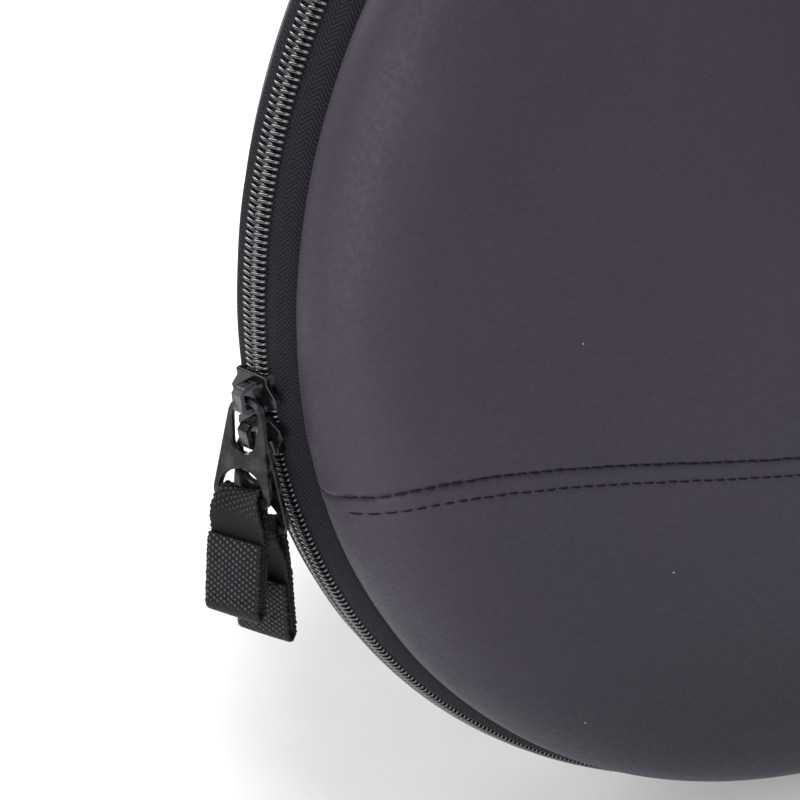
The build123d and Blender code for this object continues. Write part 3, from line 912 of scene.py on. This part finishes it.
def webbing_pull(number):
    end = 24.2 if number == 1 else 26.6
    path = [
        (-0.62, -end), (-0.62, -18), (-0.62, -11), (-0.75, -7), (-1.6, -3.2), (-2.2, 0.0), (-1.45, 1.75),
        (0.0, 2.35), (1.5, 1.8), (2.45, 0.2), (2.45, -2.4), (1.55, -5.6), (0.85, -8.6), (0.62, -12),
        (0.62, -18), (0.62, -end + 0.9),
    ]
    width = [
        (0, 12.6), (0.28, 12.6), (0.36, 11.2), (0.44, 8.8), (0.49, 8.4), (0.54, 9.2), (0.60, 11.4),
        (0.66, 12.6), (1, 12.6),
    ]
    bow = [(0, 0), (0.36, 0.1), (0.45, 0.7), (0.54, 1.2), (0.62, 0.9), (0.72, 0.2), (1, 0)]
    coarse = [(0, 0.9), (0.40, 0.9), (0.46, 0.8), (0.60, 0.75), (0.66, 0.12), (1, 0.1)]
    body = f"webbing_{number}"
    strap(f"webbing_{number}_loop", number, path, width, bow, coarse, 1.15, body,
          (f"slider_{number}_webbing_pull",), seed=number)
    top = -8.1 if number == 1 else -12.6
    flap = [
        (-0.45, -end - 0.15), (0.35, -end - 0.85), (1.35, -end - 0.55), (1.95, -end + 0.8), (2.02, -end + 4.0),
        (2.0, -17.5), (2.02, top - 2.0), (1.86, top),
    ]
    flap_width = [(0, 12.5), (0.12, 12.9), (0.9, 12.9), (1, 12.5)]
    flap_bow = [(0, 0), (0.3, 0.22), (0.8, 0.22), (1, 0)]
    flap_coarse = [(0, 0.1), (0.16, 0.15), (0.26, 1.0), (1, 1.0)]
    strap(f"webbing_{number}_folded_end", number, flap, flap_width, flap_bow, flap_coarse, 1.25, body, (),
          seed=10 + number)
    bar, right, up, face = pull_space(number)
    stitches = []
    corners = box_stitch(4.2, -12.2, -21.4)
    for (x0, y0), (x1, y1) in zip(corners, corners[1:]):
        length = np.hypot(x1 - x0, y1 - y0)
        n = max(2, int(length / 2.0))
        for k in range(n):
            t = (np.linspace(0.06, 0.94, 6) + k) / n
            x, y = x0 + (x1 - x0) * t, y0 + (y1 - y0) * t
            lift = 2.60 + 0.12 * (1 - (x / 6.3) ** 2) + 0.10 * np.sin(pi * np.linspace(0, 1, 6))
            stitches.append(bar + x[:, None] * right + y[:, None] * up + lift[:, None] * face)
    capsules(f"webbing_{number}_box_stitch", stitches, 0.19, body, THREAD)
    fibres = []
    fray = np.random.default_rng(30 + number)
    for k in range(26 if number == 2 else 12):
        side = -1 if k % 2 else 1
        x = side * (6.0 + fray.uniform(-0.6, 0.45))
        y = -end - 0.3 + fray.uniform(-0.3, 1.6) if number == 2 else top + fray.uniform(-0.7, 0.3)
        out = 1.2 + fray.uniform(-0.6, 0.9)
        reach = fray.uniform(0.5, 1.15)
        direction = side * right * fray.uniform(0.2, 0.9)
        direction = direction + up * fray.uniform(-0.6, 0.4) + face * fray.uniform(-0.1, 0.5)
        direction /= np.linalg.norm(direction)
        curl = np.cross(direction, face) * fray.uniform(-0.3, 0.3)
        start = bar + x * right + y * up + out * face
        t = np.linspace(0, 1, 5)[:, None]
        fibres.append(start + direction * reach * t + curl * t * t)
    capsules(f"webbing_{number}_frayed_fibres", fibres, 0.045, body, THREAD)


webbing_pull(1)
webbing_pull(2)

# ---------------------------------------------------------------- gusset, bindings and hang loop
gusset_line = smooth_line(
    [(0.9, -7.5), (1.2, -5.0), (0.5, -1.5), (-0.9, 2.0), (-2.8, 4.9), (-4.6, 6.9)], 26
)
gusset_runs = np.linspace(S_ZIP + 4.2, 2 * S_TOP - S_ZIP - 4.2, 190)
gusset = swept(
    "top_gusset_weave", gusset_runs, thickened(gusset_line, 0.7), "", TAPE, stands_for=("top_gusset",),
    wave=lambda runs, g, d: (g + 0.10 * np.sin(runs / 2.7) + 0.08 * np.sin(runs / 1.6 + 1), d),
)
tuple(place(S_TOP, 0, -6.0))
tuple(place(S_TOP, 0, 6.6))
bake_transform(gusset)

full_runs = np.linspace(-S_TOP, S_TOP, 700, endpoint=False)


def roll(centre_growth, centre_depth, half_growth, half_depth):
    a = np.linspace(0, 2 * pi, 14, endpoint=False)
    return np.stack([
        centre_growth + half_growth * np.sign(np.cos(a)) * abs(np.cos(a)) ** 0.7,
        centre_depth + half_depth * np.sign(np.sin(a)) * abs(np.sin(a)) ** 0.8,
    ], -1)


swept("front_binding_braid", full_runs, roll(-9.0, 6.5, 2.6, 0.62), "front_shell", BINDING,
      closed=True, stands_for=("front_seam_binding",))
swept("back_binding_braid", full_runs, roll(-4.0, -7.2, 2.6, 0.6), "back_shell", BINDING,
      closed=True, stands_for=("back_seam_binding",))


def hang_loop():
    near, far, thickness = -4.8, 4.8, 1.45
    path = smooth_line(
        [
            (near, -58.0), (near, -48), (near, -38), (near, -24), (near, -6.0), (near + 0.9, -2.0),
            (-2.6, 0.3), (0, 1.0), (2.6, 0.3), (far - 0.9, -2.0), (far, -6.0), (far, -22.0),
            (far - 0.6, -31.0), (1.2, -36.5),
            (-2.2, -40.5), (-3.2, -44.0), (-3.25, -50.0), (-3.25, -57.6),
        ],
        420,
    )
    step = np.gradient(path, axis=0)
    step /= np.linalg.norm(step, axis=1)[:, None]
    normal = np.stack([step[:, 1], -step[:, 0]], -1)
    reach = np.r_[0, np.cumsum(np.linalg.norm(np.diff(path, axis=0), axis=1))]
    points, cloth = [], []
    half_width = 12.4
    across = np.linspace(-1, 1, 62)
    for k in range(len(path)):
        for side in (1, -1):
            for value in across if side > 0 else across[::-1]:
                x = value * half_width
                knot, wave = weave(x, reach[k])
                edge = np.sqrt(max(0.0, 1 - abs(value) ** 14))
                off = side * edge * (thickness / 2 - 0.10 + 0.16 * knot * (0.3 + 0.7 * wave))
                points.append((x, path[k, 0] + normal[k, 0] * off, path[k, 1] + normal[k, 1] * off))
                # the third cloth value sets how strongly this point takes the webbing's painted highlight
                cloth.append((reach[k], x + SELVEDGE, 0.8 * knot * wave))
    columns = 2 * len(across)
    faces = grid_faces(len(path), columns, columns_close=True)
    faces.append(tuple(range(columns)))
    faces.append(tuple(range((len(path) - 1) * columns, len(path) * columns)))
    make("hang_loop_webbing", np.array(points) * MM, faces, "back_shell", WEBBING, np.array(cloth),
         ("hang_loop",), closed=True)
    stitches = []
    corners = box_stitch(9.5, -45.5, -55.5)
    for (x0, z0), (x1, z1) in zip(corners, corners[1:]):
        n = max(2, int(np.hypot(x1 - x0, z1 - z0) / 2.4))
        for k in range(n):
            t = (np.linspace(0.08, 0.92, 6) + k) / n
            lift = -2.42 + 0.14 * np.sin(pi * np.linspace(0, 1, 6))
            stitches.append(np.stack([x0 + (x1 - x0) * t, lift, z0 + (z1 - z0) * t], -1))
    capsules("hang_loop_box_stitch", stitches, 0.24, "back_shell", THREAD)


hang_loop()

# ---------------------------------------------------------------- camera, light, stage
camera_data = bpy.data.cameras.new("camera")
camera_data.lens = 76.5
camera_data.sensor_width = 36.0
camera = bpy.data.objects.new("camera", camera_data)
bpy.context.scene.collection.objects.link(camera)
AZ, EL = radians(22.3), radians(27.7)
back = Vector((-sin(AZ) * cos(EL), -cos(AZ) * cos(EL), sin(EL)))
camera.location = Vector((-234.5, ZIP_Y - 284.8, HEAD_Z + 140.0)) * MM
camera.rotation_euler = (-back).to_track_quat("-Z", "Y").to_euler()
bpy.context.scene.camera = camera


def lamp(name, place_mm, target_mm, size, power, colour=(1, 1, 1), shape="RECTANGLE", size_y=None):
    data = bpy.data.lights.new(name, "AREA")
    data.shape = shape
    data.size = size
    data.size_y = size_y or size
    data.energy = power
    data.color = colour
    lamp_object = bpy.data.objects.new(name, data)
    lamp_object.location = Vector(place_mm) * MM
    aim = Vector(target_mm) * MM - lamp_object.location
    lamp_object.rotation_euler = aim.to_track_quat("-Z", "Y").to_euler()
    bpy.context.scene.collection.objects.link(lamp_object)
    return lamp_object


lamp("overhead", (-150, -250, 650), (-60, -60, -527), 1.2, 8.0)
lamp("back_left", (-620, 560, 240), (-140, -30, -390), 0.35, 7.0, size_y=0.7)
lamp("left_low", (-470, -310, -290), (-100, -60, -400), 0.3, 2.1, size_y=0.5)
lamp("front_fill", (520, -1050, 250), (0, -40, -400), 1.0, 0.8)

world = bpy.data.worlds.new("studio")
world.use_nodes = True
world.node_tree.nodes["Background"].inputs["Color"].default_value = (1.0, 1.0, 1.0, 1)
world.node_tree.nodes["Background"].inputs["Strength"].default_value = 0.22
bpy.context.scene.world = world

floor_z = (HEAD_Z - HEAD_R - 3.6) * MM
ring_count = 64
floor_angles = np.linspace(0, 2 * pi, ring_count, endpoint=False)
floor_points = [(0, 0, floor_z)]
for radius in (0.3, 1.0, 3.0, 8.0):
    floor_points += [(radius * cos(a), radius * sin(a), floor_z) for a in floor_angles]
floor_faces = [(0, 1 + j, 1 + (j + 1) % ring_count) for j in range(ring_count)]
floor_faces += grid_faces(4, ring_count, columns_close=True, start=1)
floor = make("studio_floor", floor_points, floor_faces, None, floor_material())

bpy.context.scene.view_settings.view_transform = "Standard"

for node_name in ("slider_1_body", "slider_1_bail", "slider_1_pull_tab", "slider_2_body", "slider_2_bail",
                  "slider_2_pull_tab", "back_end_stops", "front_end_stops"):
    node = frame["nodes"][node_name]
    for slot in node.material_slots:
        slot.material = ENAMEL
